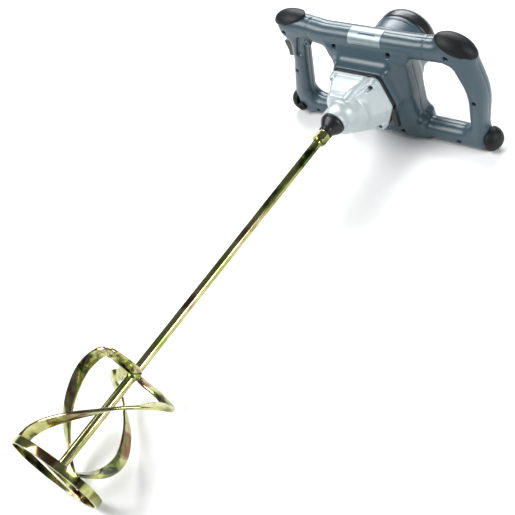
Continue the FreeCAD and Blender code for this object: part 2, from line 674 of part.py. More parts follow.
endAngle = size("ribbonStart") + size("ribbonTurn")
crossBar = Part.makeBox(2 * size("ringRadius"), 4, 14, V(-size("ringRadius"), size("ringBack") - 8, -7))
crossBar.rotate(V(0, 0, 0), V(0, -1, 0), endAngle)
insideRing = size("ringRadius") - size("ringThickness") - 0.02
crossBar = crossBar.common(pin(insideRing, size("ringBack") + 20, size("ringBack") - 40))
solidFeature("cross_bar", crossBar)


# ---- lay the tool down on its lower bumpers and the ring, box centred over the origin ----

doc.recompute()
ringEdge = (size("ringBack") - size("ringWidth"), -size("ringRadius"))
run = 0 - ringEdge[0]
drop = size("bumperHeight") - ringEdge[1]
tilt = -math.atan2(drop, run) + math.asin(size("bumperRadius") / math.hypot(run, drop))
tilting = FreeCAD.Rotation(V(1, 0, 0), math.degrees(tilt))


def laid(shape, placement):
    moved = shape.copy()
    moved.Placement = placement.multiply(moved.Placement)
    return moved


toolBox = laid(Part.makeCompound([thing.Shape for thing in parts.values()]),
               FreeCAD.Placement(V(0, 0, 0), tilting)).optimalBoundingBox(False)
lay = FreeCAD.Placement(V(-toolBox.Center.x, -toolBox.Center.y, -toolBox.ZMin), tilting)

for thing in doc.Objects:
    if "Invalid" in thing.State or "Error" in thing.State:
        raise RuntimeError(thing.Name + " failed")
os.makedirs("parts", exist_ok=True)
for label, thing in parts.items():
    shape = thing.Shape
    if shape.isNull() or not shape.isValid() or not shape.Solids:
        raise RuntimeError(label + " is not a valid solid")
    thing.Placement = lay.multiply(thing.Placement)
doc.recompute()
for label, thing in parts.items():
    thing.Shape.exportStep("parts/%s.step" % label)
print("tilt %.3f degrees, lay %s, %d sub-parts" % (math.degrees(tilt), lay.Base, len(parts)))
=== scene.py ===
import itertools
import json
import math

import bmesh
import bpy
import numpy as np
from mathutils import Matrix, Vector


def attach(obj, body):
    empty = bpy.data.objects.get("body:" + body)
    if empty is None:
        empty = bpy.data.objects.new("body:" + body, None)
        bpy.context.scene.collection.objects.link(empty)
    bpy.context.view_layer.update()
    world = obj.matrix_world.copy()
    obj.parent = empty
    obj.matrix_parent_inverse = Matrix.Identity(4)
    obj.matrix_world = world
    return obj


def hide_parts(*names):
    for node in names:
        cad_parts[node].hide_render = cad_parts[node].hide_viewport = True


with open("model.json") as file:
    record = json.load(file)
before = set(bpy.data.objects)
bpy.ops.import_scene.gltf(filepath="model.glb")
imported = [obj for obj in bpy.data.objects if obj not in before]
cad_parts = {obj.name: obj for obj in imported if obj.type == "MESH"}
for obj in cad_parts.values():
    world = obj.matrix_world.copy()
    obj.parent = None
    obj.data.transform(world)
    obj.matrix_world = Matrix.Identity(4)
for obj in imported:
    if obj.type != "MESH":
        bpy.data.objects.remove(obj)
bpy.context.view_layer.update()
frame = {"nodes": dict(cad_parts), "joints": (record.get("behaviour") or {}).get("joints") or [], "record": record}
record = frame["record"]
print("stage: frame loaded")

# The tool's own axes: X across the handles, Y along the spindle away from the paddle, and Z from the
# spindle to the top bar. Pieces are drawn in them in millimetres and then laid down as the frame is.
joints = {joint["name"]: joint for joint in frame["joints"]}
spindlePlace = Vector(joints["paddle_spin"]["pos_m"])
spindleAxis = Vector(joints["paddle_spin"]["axis"]).normalized()
acrossAxis = Vector((1, 0, 0))
toolAxes = Matrix((acrossAxis, spindleAxis, acrossAxis.cross(spindleAxis))).transposed()
toolToRow = Matrix.Translation(spindlePlace) @ toolAxes.to_4x4() @ Matrix.Scale(0.001, 4)
motorHeight = -(spindlePlace - Vector(joints["armature_spin"]["pos_m"])).length * 1000


def addPiece(name, mesh, material, smoothAngle=50):
    piece = bpy.data.objects.new(name, mesh)
    bpy.context.scene.collection.objects.link(piece)
    mesh.materials.clear()
    mesh.materials.append(material)
    mesh.transform(toolToRow)
    mesh.shade_smooth()
    if smoothAngle:
        mesh.set_sharp_from_angle(angle=math.radians(smoothAngle))
    return piece


def hand(piece, body, slotName, *nodes):
    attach(piece, body)
    if nodes:
        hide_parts(*nodes)


class Wire:
    # a socket of a node that takes part in sums
    def __init__(self, board, socket):
        self.board = board
        self.socket = socket

    def sum(self, operation, first, second):
        return self.board.node("ShaderNodeMath", {"operation": operation}, {0: first, 1: second})

    def __add__(self, other):
        return self.sum("ADD", self, other)

    def __radd__(self, other):
        return self.sum("ADD", other, self)

    def __mul__(self, other):
        return self.sum("MULTIPLY", self, other)

    def __rmul__(self, other):
        return self.sum("MULTIPLY", other, self)


class Board:
    # a material's node tree, with its object coordinates and its shader
    def __init__(self, name):
        self.material = bpy.data.materials.new(name)
        self.material.use_nodes = True
        self.tree = self.material.node_tree
        self.shader = self.tree.nodes["Principled BSDF"]
        self.coords = self.node("ShaderNodeTexCoord", {}, {}, "Object")

    def node(self, kind, settings, sockets, output=0):
        made = self.tree.nodes.new(kind)
        for word, value in settings.items():
            if word == "stops":
                ramp = made.color_ramp
                while len(ramp.elements) < len(value):
                    ramp.elements.new(0.5)
                for element, (place, colour) in zip(ramp.elements, value):
                    element.position = place
                    element.color = (*colour, 1) if len(colour) == 3 else (colour[0],) * 3 + (1,)
            else:
                setattr(made, word, value)
        for word, value in sockets.items():
            self.join(value, made.inputs[word])
        return Wire(self, made.outputs[output])

    def join(self, value, socket):
        if isinstance(value, Wire):
            self.tree.links.new(value.socket, socket)
        elif isinstance(value, (tuple, list)) and len(value) == 3 and socket.type == "RGBA":
            socket.default_value = (*value, 1)
        else:
            socket.default_value = value

    def noise(self, scale, detail=3, roughness=0.5, stretch=None):
        coords = self.coords
        if stretch:
            coords = self.node("ShaderNodeMapping", {}, {"Vector": coords, "Scale": stretch})
        return self.node("ShaderNodeTexNoise", {}, {"Vector": coords, "Scale": scale, "Detail": detail,
                                                    "Roughness": roughness})

    def cells(self, scale):
        return self.node("ShaderNodeTexVoronoi", {}, {"Vector": self.coords, "Scale": scale}, "Distance")

    def ramp(self, value, *stops):
        return self.node("ShaderNodeValToRGB", {"stops": stops}, {"Fac": value})

    def mix(self, factor, first, second):
        return self.node("ShaderNodeMix", {"data_type": "RGBA"}, {0: factor, 6: first, 7: second}, 2)

    def wear(self, scale=45):
        # 0 on flat faces and in hollows, rising to 1 in broken patches along worn edges
        edges = self.node("ShaderNodeNewGeometry", {}, {}, "Pointiness")
        worn = self.ramp(edges, (0.53, (0,)), (0.60, (1,)))
        broken = self.ramp(self.noise(scale, 5, 0.7), (0.42, (0,)), (0.62, (1,)))
        return worn * broken

    def bump(self, height, strength, distance, normal=None):
        sockets = {"Height": height, "Strength": strength, "Distance": distance}
        if normal:
            sockets["Normal"] = normal
        return self.node("ShaderNodeBump", {}, sockets)

    def shade(self, **sockets):
        for word, value in sockets.items():
            self.join(value, self.shader.inputs[word.replace("_", " ")])
        return self.material


def mouldedPlastic(name, dark, light, roughness, grain=2600):
    board = Board(name)
    clouds = board.noise(9, 4, 0.6)
    scuffs = board.ramp(board.noise(60, 6, 0.7, (1, 3, 1)), (0.60, (0,)), (0.78, (1,)))
    paler = [min(1, channel * 1.8) for channel in light]
    colour = board.mix(clouds, dark, light)
    colour = board.mix(scuffs * 0.15 + board.wear() * 0.5, colour, paler)
    normal = board.bump(board.cells(grain), 0.10, 0.0002)
    normal = board.bump(board.noise(220, 3), 0.05, 0.0004, normal)
    rough = roughness + 0.08 * clouds + 0.08 * scuffs
    return board.shade(Base_Color=colour, Roughness=rough, Normal=normal)


def softRubber(name):
    board = Board(name)
    dust = board.ramp(board.noise(35, 6, 0.65), (0.52, (0,)), (0.80, (1,)))
    colour = board.mix(dust * 0.25 + board.wear() * 0.2, (0.004, 0.005, 0.006), (0.022, 0.025, 0.027))
    normal = board.bump(board.noise(1900, 2), 0.16, 0.0002)
    rough = 0.52 + 0.16 * dust
    return board.shade(Base_Color=colour, Roughness=rough, Normal=normal, Specular_IOR_Level=0.3)


def dieCast(name):
    board = Board(name)
    clouds = board.noise(26, 5, 0.6)
    stains = board.ramp(board.noise(75, 6, 0.7), (0.56, (0,)), (0.75, (1,)))
    colour = board.mix(clouds, (0.40, 0.47, 0.48), (0.58, 0.64, 0.65))
    colour = board.mix(stains * 0.20, colour, (0.20, 0.25, 0.25))
    colour = board.mix(board.wear(), colour, (0.85, 0.87, 0.87))
    normal = board.bump(board.noise(1500, 3), 0.14, 0.0003)
    normal = board.bump(board.noise(160, 3), 0.06, 0.0006, normal)
    return board.shade(Base_Color=colour, Metallic=0.35, Roughness=0.36 + 0.14 * clouds, Normal=normal)


def chromatedZinc(name):
    board = Board(name)
    # streaks stretched along Y: the chromate's own tint changes mixed with painted reflection streaks, dark and
    # light
    tintAndReflectionStreaks = board.noise(26, 3, 0.55, (1, 0.35, 1))
    patches = board.ramp(board.noise(60, 4, 0.6), (0.50, (0,)), (0.66, (1,)))
    # the near-black and brown stops paint dark reflections along the metal; the olive and yellow stops are the
    # chromate's own tints
    colour = board.ramp(tintAndReflectionStreaks, (0.38, (0.03, 0.03, 0.015)), (0.45, (0.34, 0.35, 0.11)),
                        (0.55, (0.56, 0.52, 0.26)), (0.63, (0.22, 0.12, 0.07)))
    colour = board.mix(patches * 0.6, colour, (0.16, 0.28, 0.05))
    colour = board.mix(board.wear(80) * 0.6, colour, (0.70, 0.68, 0.48))
    normal = board.bump(board.noise(900, 2, 0.5, (1, 0.02, 1)), 0.06, 0.0002)
    normal = board.bump(board.noise(240, 4), 0.05, 0.0004, normal)
    return board.shade(Base_Color=colour, Metallic=1.0, Roughness=0.12 + 0.10 * patches, Normal=normal)


def turnedMetal(name, dark, light, roughness, metallic=1.0):
    board = Board(name)
    clouds = board.noise(120, 4, 0.6)
    paler = [min(1, channel * 1.6) for channel in light]
    colour = board.mix(clouds, dark, light)
    colour = board.mix(board.wear(90) * 0.5, colour, paler)
    normal = board.bump(board.noise(1400, 2, 0.5, (1, 0.1, 1)), 0.08, 0.0002)
    rough = roughness + 0.12 * clouds
    return board.shade(Base_Color=colour, Metallic=metallic, Roughness=rough, Normal=normal)


finishes = {
    "body_plastic": mouldedPlastic("blueGreyPlastic", (0.034, 0.064, 0.084), (0.056, 0.096, 0.120), 0.26),
    "rubber": softRubber("softBlackRubber"),
    "black_plastic": mouldedPlastic("blackPlastic", (0.007, 0.008, 0.009), (0.014, 0.017, 0.019), 0.26),
    "label_silver": turnedMetal("brushedLabel", (0.20, 0.26, 0.28), (0.34, 0.40, 0.42), 0.34, 0.6),
    "die_cast": dieCast("dieCastAluminium"),
    "black_metal": turnedMetal("blackenedSteel", (0.008, 0.009, 0.010), (0.020, 0.023, 0.025), 0.30, 0.4),
    "bright_steel": turnedMetal("platedSteel", (0.30, 0.31, 0.32), (0.48, 0.49, 0.50), 0.30),
    "gear_steel": turnedMetal("groundSteel", (0.28, 0.28, 0.29), (0.42, 0.42, 0.43), 0.25),
    "laminated_steel": turnedMetal("laminatedSteel", (0.12, 0.12, 0.13), (0.22, 0.22, 0.23), 0.40),
    "copper": turnedMetal("turnedCopper", (0.62, 0.30, 0.17), (0.80, 0.44, 0.28), 0.28),
    "carbon": turnedMetal("pressedCarbon", (0.015, 0.015, 0.016), (0.035, 0.035, 0.036), 0.50, 0.2),
    "zinc_yellow": chromatedZinc("yellowZinc"),
}
# screw heads made near black in place of bright steel: painted shade of the deep holes they sit in
screwPaintedShade = turnedMetal("screwHeadPaintedShade", (0.02, 0.02, 0.022), (0.05, 0.05, 0.055), 0.35)
slotOf = {part["node"]: part["material_slot"] for part in record["subparts"]}
for nodeName, node in frame["nodes"].items():
    node.data.materials.clear()
    node.data.materials.append(finishes[slotOf[nodeName]])
frame["nodes"]["housing_screws"].data.materials[0] = screwPaintedShade
frame["nodes"]["gear_case_screws"].data.materials[0] = screwPaintedShade
print("stage: materials")


# shapes are given as distances in millimetres: below nought inside, above it outside
def softMin(first, second, width):
    share = np.clip(0.5 + 0.5 * (second - first) / width, 0, 1)
    return second + (first - second) * share - width * share * (1 - share)


def softMax(first, second, width):
    return -softMin(-first, -second, width)


def roundedOutline(corners, steps=7):
    # corners are (x, z, radius); each becomes an arc tangent to its two sides
    points = []
    for index, (x, z, radius) in enumerate(corners):
        here = Vector((x, z))
        before = Vector(corners[index - 1][:2]) - here
        after = Vector(corners[(index + 1) % len(corners)][:2]) - here
        half = before.angle(after) / 2
        reach = min(radius / math.tan(half), 0.48 * before.length, 0.48 * after.length)
        arc = reach * math.tan(half)
        centre = here + (before.normalized() + after.normalized()).normalized() * arc / math.sin(half)
        first = here + before.normalized() * reach - centre
        last = here + after.normalized() * reach - centre
        turn = first.angle_signed(last)
        for step in range(steps + 1):
            angle = math.atan2(first.y, first.x) - turn * step / steps
            points.append((centre.x + arc * math.cos(angle), centre.y + arc * math.sin(angle)))
    return np.array(points)


def outlineDistance(x, z, outline):
    # signed distance of each (x, z) to a closed outline
    nearest = np.full(x.shape, 1e9)
    inside = np.zeros(x.shape, bool)
    for (ax, az), (bx, bz) in zip(outline, np.roll(outline, -1, axis=0)):
        dx, dz = bx - ax, bz - az
        length = dx * dx + dz * dz
        if length < 1e-9:
            continue
        along = np.clip(((x - ax) * dx + (z - az) * dz) / length, 0, 1)
        nearest = np.minimum(nearest, (x - ax - along * dx) ** 2 + (z - az - along * dz) ** 2)
        crossing = (az > z) != (bz > z)
        if abs(dz) > 1e-9:
            inside ^= crossing & (x < ax + (z - az) / dz * dx)
    return np.where(inside, -1, 1) * np.sqrt(nearest)


def slab(flat, y, back, front, rounding):
    # a flat shape given thickness between two places along Y, with rounded edges
    middle, half = (back + front) / 2, abs(back - front) / 2
    a = flat + rounding
    b = np.abs(y - middle) - half + rounding
    return np.minimum(np.maximum(a, b), 0) + np.hypot(np.maximum(a, 0), np.maximum(b, 0)) - rounding


def barrel(x, y, z, centre, radius, back, front, rounding=2.0):
    return slab(np.hypot(x - centre[0], z - centre[1]) - radius, y, back, front, rounding)


def block(x, y, z, low, high, rounding):
    away = [np.abs(v - (a + b) / 2) - (b - a) / 2 + rounding for v, a, b in zip((x, y, z), low, high)]
    outside = np.sqrt(sum(np.maximum(part, 0) ** 2 for part in away))
    return np.minimum(np.maximum(np.maximum(away[0], away[1]), away[2]), 0) + outside - rounding


def rod(x, y, z, start, end, startRadius, endRadius):
    # a tapered bar with round ends between two places
    start, end = np.array(start, float), np.array(end, float)
    way = end - start
    along = ((x - start[0]) * way[0] + (y - start[1]) * way[1] + (z - start[2]) * way[2]) / way.dot(way)
    along = np.clip(along, 0, 1)
    away = np.sqrt((x - start[0] - along * way[0]) ** 2 + (y - start[1] - along * way[1]) ** 2
                   + (z - start[2] - along * way[2]) ** 2)
    return away - startRadius - (endRadius - startRadius) * along


def ellipsoid(x, y, z, centre, radii, turn=0.0):
    cosine, sine = math.cos(turn), math.sin(turn)
    dx, dy, dz = x - centre[0], y - centre[1], z - centre[2]
    across = dx * cosine - dz * sine
    up = dx * sine + dz * cosine
    near = np.sqrt((across / radii[0]) ** 2 + (dy / radii[1]) ** 2 + (up / radii[2]) ** 2)
    return (near - 1) * min(radii)


def skin(name, field, low, high, step, material, passes=3):
    # closes a surface round the inside of a distance field, with one corner for each crossed cell and
    # one face for each crossed edge
    axes = [np.arange(a, b + step, step) for a, b in zip(low, high)]
    grid = axes[0][:, None, None], axes[1][None, :, None], axes[2][None, None, :]
    values = field(*grid).astype(np.float32)
    inside = values < 0
    counted = np.zeros([size - 1 for size in values.shape], np.int8)
    for i, j, k in itertools.product((0, 1), repeat=3):
        counted += inside[i:inside.shape[0] - 1 + i, j:inside.shape[1] - 1 + j, k:inside.shape[2] - 1 + k]
    crossed = (counted > 0) & (counted < 8)
    number = np.full(crossed.shape, -1)
    cells = np.argwhere(crossed)
    number[crossed] = np.arange(len(cells))
    total = np.zeros((len(cells), 3))
    hits = np.zeros(len(cells))
    for axis in range(3):
        step3 = np.eye(3, dtype=int)[axis]
        for offset in itertools.product((0, 1), repeat=3):
            if offset[axis]:
                continue
            start = cells + np.array(offset)
            first = values[tuple(start.T)]
            last = values[tuple((start + step3).T)]
            meets = (first < 0) != (last < 0)
            share = np.where(meets, first / np.where(meets, first - last, 1), 0)
            total[meets] += (start + share[:, None] * step3)[meets]
            hits[meets] += 1
    corners = np.array([axis[0] for axis in axes]) + step * total / hits[:, None]
    faces = []
    for axis in range(3):
        b, c = (axis + 1) % 3, (axis + 2) % 3
        first = np.take(inside, range(inside.shape[axis] - 1), axis)
        last = np.take(inside, range(1, inside.shape[axis]), axis)
        for leaving in (True, False):
            edges = np.argwhere((first & ~last) if leaving else (~first & last))
            ring = []
            for db, dc in ((-1, -1), (0, -1), (0, 0), (-1, 0)):
                cell = edges.copy()
                cell[:, b] += db
                cell[:, c] += dc
                ring.append(number[tuple(cell.T)])
            faces.append(np.stack(ring if leaving else ring[::-1], 1))
    mesh = bpy.data.meshes.new(name)
    mesh.from_pydata(corners.tolist(), [], np.concatenate(faces).tolist())
    work = bmesh.new()
    work.from_mesh(mesh)
    for _ in range(passes):
        bmesh.ops.smooth_vert(work, verts=work.verts, factor=0.5,
                              use_axis_x=True, use_axis_y=True, use_axis_z=True)
    work.to_mesh(mesh)
    work.free()
    return addPiece(name, mesh, material, 0)


# the handle housing, in two halves
housing = {
    "depth": 15.5, "rounding": 12.5,
    "left": -146, "right": 156, "cornerTop": 72, "foot": 160, "floor": -106,
    "barTop": 67, "barUnder": 36, "barBottom": -77,     # top bar's edges, bottom bar's upper edge
    "core": 61, "coreFront": -20, "coreBack": 26,       # half the width of the deep middle, and its faces
    "bellRadius": 51, "bellBack": 42, "barrelHole": 45.2,
    "gapBoss": (127, 50), "seamLap": 0.8, "seams": (-91, 92), "screwHole": 3.5, "step": 1.35,
}
recess = {"floor": -10.5, "boss": (-99, 36), "bossRadius": 6, "bossFront": -14.5, "holeRadius": 3}
left, right = housing["left"], housing["right"]
barTop, barUnder, barBottom = housing["barTop"], housing["barUnder"], housing["barBottom"]
floorLine, core, foot, cornerTop = housing["floor"], housing["core"], housing["foot"], housing["cornerTop"]
outerOutline = roundedOutline([
    (left, cornerTop, 20), (left + 48, cornerTop, 40), (-70, barTop, 60), (72, barTop, 60),
    (right - 45, cornerTop - 3, 40), (right, cornerTop - 2, 22), (right + 16, -4, 110),
    (foot, barBottom + 12, 25), (foot, floorLine, 14), (0, floorLine + 5, 900),
    (-foot, floorLine, 14), (-foot, barBottom + 14, 30), (left + 7, 2, 80), (left + 12, 33, 10),
    (left, 46, 12)])
leftGap = roundedOutline([
    (left + 39, barUnder, 12), (-core, barUnder, 36), (-core, barBottom, 14), (left + 11, barBottom, 14)])
rightGap = roundedOutline([
    (core, barUnder, 14), (right - 29, barUnder + 2, 14), (right - 13, -6, 80), (right - 20, barBottom, 18),
    (core - 5, barBottom, 18)])
flangeCorners = [(-37, 28, 8), (37, 28, 8), (49, -20, 12), (30, -62, 12), (-30, -62, 12), (-49, -20, 12)]
flangeOutline = roundedOutline(flangeCorners)
collarOutline = roundedOutline([(x * 1.08, z * 1.07, radius) for x, z, radius in flangeCorners])
recessOutline = roundedOutline([
    (-113, 46, 4), (-92, 51, 4), (-84, 45, 5), (-92, 28, 8), (-113, 12, 5), (-127, 9, 4)])
screwPlaces = [
    (left + 12, 52), (-47, 44), (40, 44), (right - 29, 53), (right - 2, -17), (118, floorLine + 12),
    (32, floorLine + 14), (-122, floorLine + 12), (left + 10, -19), (-68, floorLine + 14)]
rightTurn = math.radians(25)     # how far the right upper corner slopes down
cornerPads = [((left + 25, 0, cornerTop - 13), 0), ((right - 22, 0, cornerTop - 15), rightTurn)]
padRadii = (29, 16, 16)


def housingField(x, y, z):
    flatX, flatZ = np.broadcast_arrays(x, z)
    outer = outlineDistance(flatX, flatZ, outerOutline)
    gaps = np.minimum(outlineDistance(flatX, flatZ, leftGap), outlineDistance(flatX, flatZ, rightGap))
    flat = softMax(outer, -gaps, 5)
    depth = housing["depth"]
    shape = slab(flat, y, depth, -depth, housing["rounding"])
    coreFlat = np.maximum(np.maximum(flat, np.abs(x) - core - 4), z - 48)
    shape = softMin(shape, slab(coreFlat, y, housing["coreBack"], housing["coreFront"], 11), 7)
    collarFlat = outlineDistance(flatX, flatZ, collarOutline)
    shape = softMin(shape, slab(collarFlat, y, 0, -39.6, 2.2), 18)
    bell = barrel(x, y, z, (0, motorHeight), housing["bellRadius"], housing["bellBack"], -5, 5)
    shape = softMin(shape, bell, 12)
    shape = softMin(shape, barrel(x, y, z, housing["gapBoss"], 9, 13, -14, 5), 5)
    for centre, turn in cornerPads:
        shape = softMin(shape, ellipsoid(x, y, z, centre, padRadii, turn), 4)
    for place in screwPlaces:
        hole = barrel(x, y, z, place, housing["screwHole"], -depth + 5, -60, 0.3)
        shape = softMax(shape, -hole, 0.8)
    recessFlat = outlineDistance(flatX, flatZ, recessOutline)
    shape = softMax(shape, -slab(recessFlat, y, recess["floor"], -30, 1), 1.5)
    boss = barrel(x, y, z, recess["boss"], recess["bossRadius"], -8, recess["bossFront"], 1.2)
    shape = softMin(shape, boss, 1)
    bossHole = barrel(x, y, z, recess["boss"], recess["holeRadius"], -11, -30, 0.3)
    return softMax(shape, -bossHole, 0.6)


def triggerPocket(x, y, z):
    return block(x, y, z, (left - 9, -8.6, 1.8), (left + 18, 8.6, 30.2), 1)


def topSeams(x, y, z):
    # two fine joints across the top bar
    lines = np.minimum(*[np.abs(x - place) - 0.5 for place in housing["seams"]])
    return np.maximum(lines, 34 - z)


def halfField(side):
    def field(x, y, z):
        shape = housingField(x, y, z)
        shape = softMax(shape, -triggerPocket(x, y, z), 1)
        shape = np.maximum(shape, -np.maximum(topSeams(x, y, z), -shape - 1.1))
        barrelHole = barrel(x, y, z, (0, motorHeight), housing["barrelHole"], 90, -2, 0.5)
        shape = np.maximum(shape, -barrelHole)
        return np.maximum(shape, side * -y - housing["seamLap"])
    return field


frontShell = skin("front_shell", halfField(-1), (-185, -46, -114), (186, 3, 88), housing["step"],
                  finishes["body_plastic"])
hand(frontShell, "machine", "body_plastic", "front_housing")
rearShell = skin("rear_shell", halfField(1), (-185, -3, -114), (186, 48, 88), housing["step"],
                 finishes["body_plastic"])
hand(rearShell, "machine", "body_plastic", "rear_housing")
print("stage: housing", len(frontShell.data.polygons), len(rearShell.data.polygons))


bumpers = {"gap": 0.25, "reach": 33, "step": 0.9, "footHeight": -90}


def overHousing(ball, x, y, z):
    # keeps a ball of rubber off the housing under it
    return softMax(ball, -(housingField(x, y, z) - bumpers["gap"]), 0.6)


def bumperField(centre, radii, turn, lowest, slope):
    # a rubber ball over the housing, cut off below a sloping line
    def field(x, y, z):
        under = (centre[2] + lowest + slope * (x - centre[0]) - z) / math.hypot(1, slope)
        return overHousing(softMax(ellipsoid(x, y, z, centre, radii, turn), under, 1.5), x, y, z)
    return field


def footField(centre, radii, outward):
    # a rubber half ball against an end of the bottom bar
    def field(x, y, z):
        inward = (centre[0] - x) * outward
        return overHousing(softMax(ellipsoid(x, y, z, centre, radii), inward, 1), x, y, z)
    return field


padLeft, padRight = (left + 25, 0, cornerTop - 9.8), (right - 22, 0, cornerTop - 13.2)
footLeft, footRight = (1 - foot, 0, bumpers["footHeight"]), (foot - 1, 0, bumpers["footHeight"])
footRadii = (17.5, 17.8, 17.6)
domes = [
    ("bumper_upper_left", "bumper_top_left", padLeft, bumperField(padLeft, (32, 18.6, 18.2), 0, 7, 0.25)),
    ("bumper_upper_right", "bumper_top_right", padRight,
     bumperField(padRight, (32, 18.6, 18.6), rightTurn, 4, -0.45)),
    ("bumper_lower_left", "bumper_bottom_left", footLeft, footField(footLeft, footRadii, -1)),
    ("bumper_lower_right", "bumper_bottom_right", footRight, footField(footRight, footRadii, 1)),
]
for name, node, centre, field in domes:
    low = [value - bumpers["reach"] for value in centre]
    high = [value + bumpers["reach"] for value in centre]
    bumper = skin(name, field, low, high, bumpers["step"], finishes["rubber"])
    hand(bumper, "machine", "rubber", node)


# a plate that follows the top bar: how far it stands out and goes in, its two ends and its one plain line
plate = {"out": 0.7, "into": 0.8, "left": -22, "right": 30, "lineLeft": -6, "lineRight": 20, "step": 0.6}


def labelField(x, y, z):
    shape = housingField(x, y, z)
    sheet = np.maximum(shape - plate["out"], -shape - plate["into"])
    outline = block(x, y, z, (plate["left"], -16, 52), (plate["right"], 3, 80), 1.0)
    line = block(x, y, z, (plate["lineLeft"], -8.9, 60), (plate["lineRight"], -6.9, 80), 0.3)
    return np.maximum(np.maximum(sheet, outline), -line)


label = skin("label_sheet", labelField, (-26, -20, 50), (34, 8, 72), plate["step"],
             finishes["label_silver"], 1)
hand(label, "machine", "label_silver", "label_plate")
print("stage: bumpers and label")


# pieces that repeat are laid out by node trees
def layoutTree(name, inputs):
    # a node tree with the inputs it is given, and a helper that adds nodes and joins them
    tree = bpy.data.node_groups.new(name, "GeometryNodeTree")
    tree.interface.new_socket("Geometry", in_out="INPUT", socket_type="NodeSocketGeometry")
    for word, kind in inputs.items():
        tree.interface.new_socket(word, in_out="INPUT", socket_type="NodeSocket" + kind)
    tree.interface.new_socket("Geometry", in_out="OUTPUT", socket_type="NodeSocketGeometry")

    def add(kind, settings, sockets):
        made = tree.nodes.new(kind)
        for word, value in settings.items():
            setattr(made, word, value)
        for word, value in sockets.items():
            if isinstance(value, bpy.types.NodeSocket):
                tree.links.new(value, made.inputs[word])
            else:
                made.inputs[word].default_value = value
        return made.outputs
    return tree, add


def finishLayout(add, start, points, turn):
    # a copy of the piece on every point, turned about Y, made real and given its material
    piece = add("GeometryNodeObjectInfo", {}, {"Object": start["Piece"]})["Geometry"]
    turning = add("ShaderNodeCombineXYZ", {}, {"Y": turn})["Vector"]
    rotation = add("FunctionNodeEulerToRotation", {}, {0: turning})[0]
    copies = add("GeometryNodeInstanceOnPoints", {},
                 {"Points": points, "Instance": piece, "Rotation": rotation})
    real = add("GeometryNodeRealizeInstances", {}, {"Geometry": copies[0]})[0]
    painted = add("GeometryNodeSetMaterial", {}, {"Geometry": real, "Material": start["Material"]})[0]
    add("NodeGroupOutput", {}, {"Geometry": painted})


def scatterTree():
    # a copy on each vertex, each turned by a chance angle
    tree, add = layoutTree("scatter", {"Piece": "Object", "Material": "Material", "Seed": "Int"})
    start = add("NodeGroupInput", {}, {})
    chance = add("FunctionNodeRandomValue", {"data_type": "FLOAT"}, {"Seed": start["Seed"], 3: math.pi})[1]
    finishLayout(add, start, start["Geometry"], chance)
    return tree


def ringTree():
    # copies evenly round the Y axis
    tree, add = layoutTree("roundAxis", {"Piece": "Object", "Material": "Material", "Count": "Int"})
    start = add("NodeGroupInput", {}, {})
    points = add("GeometryNodePoints", {}, {"Count": start["Count"]})[0]
    index = add("GeometryNodeInputIndex", {}, {})[0]
    step = add("ShaderNodeMath", {"operation": "DIVIDE"}, {0: 2 * math.pi, 1: start["Count"]})[0]
    turn = add("ShaderNodeMath", {"operation": "MULTIPLY"}, {0: index, 1: step})[0]
    finishLayout(add, start, points, turn)
    return tree


def layOut(name, tree, places, source, material, values):
    # runs a layout tree once and keeps the result as a plain mesh
    carrierMesh = bpy.data.meshes.new(name)
    carrierMesh.from_pydata(places, [], [])
    carrier = bpy.data.objects.new(name + "_carrier", carrierMesh)
    bpy.context.scene.collection.objects.link(carrier)
    piece = bpy.data.objects.new(name + "_piece", source)
    bpy.context.scene.collection.objects.link(piece)
    modifier = carrier.modifiers.new("layout", "NODES")
    values = {"Piece": piece, "Material": material, **values}
    modifier.node_group = tree
    for item in tree.interface.items_tree:
        if item.in_out == "INPUT" and item.name in values:
            modifier[item.identifier] = values[item.name]
    carrier.update_tag()
    laid = carrier.evaluated_get(bpy.context.evaluated_depsgraph_get())
    mesh = bpy.data.meshes.new_from_object(laid)
    bpy.data.objects.remove(carrier)
    bpy.data.objects.remove(piece)
    return addPiece(name, mesh, material, 35)


def screwHead(radius, height, socket, sides=48):
    # a domed head facing -Y with a six-lobed socket
    rings = [(radius - 0.4, 0.0), (radius, -0.5), (radius, -height * 0.55), (radius * 0.8, -height * 0.9),
             (socket * 1.15, -height), (socket, -height + 0.1), (socket * 0.95, -height + 1.3)]
    corners, faces = [], []
    for number, (reach, y) in enumerate(rings):
        lobes = 0.12 if number > 4 else 0.0
        for side in range(sides):
            angle = 2 * math.pi * side / sides
            wide = reach * (1 + lobes * math.cos(6 * angle))
            corners.append((wide * math.cos(angle), y, wide * math.sin(angle)))
    for number in range(len(rings) - 1):
        for side in range(sides):
            after = (side + 1) % sides
            faces.append((number * sides + side, number * sides + after, (number + 1) * sides + after,
                          (number + 1) * sides + side))
    faces.append(tuple(range(sides)))
    faces.append(tuple(range((len(rings) - 1) * sides, len(rings) * sides)))
    return closedMesh("screw_head", corners, faces)


def closedMesh(name, corners, faces):
    mesh = bpy.data.meshes.new(name)
    mesh.from_pydata(corners, [], faces)
    work = bmesh.new()
    work.from_mesh(mesh)
    bmesh.ops.recalc_face_normals(work, faces=work.faces)
    work.to_mesh(mesh)
    work.free()
    return mesh


screws = {"radius": 3.3, "height": 2.2, "socket": 1.7, "caseSocket": 1.8, "sunk": 4, "caseFace": -51.4,
          "seed": 7}
scatter = scatterTree()
housingSpots = [(x, screws["sunk"] - housing["depth"], z) for x, z in screwPlaces]
housingHead = screwHead(screws["radius"], screws["height"], screws["socket"])
housingScrews = layOut("screw_heads", scatter, housingSpots, housingHead, screwPaintedShade,
                       {"Seed": screws["seed"]})
hand(housingScrews, "machine", "bright_steel", "housing_screws")
caseBosses = [(-30, 21), (31, 21), (27, -50), (-27, -50)]
caseSpots = [(x, screws["caseFace"], z) for x, z in caseBosses]
caseHead = screwHead(screws["radius"], screws["height"], screws["caseSocket"])
caseScrews = layOut("case_screw_heads", scatter, caseSpots, caseHead, screwPaintedShade, {"Seed": screws["seed"]})
hand(caseScrews, "machine", "bright_steel", "gear_case_screws")
print("stage: screws")


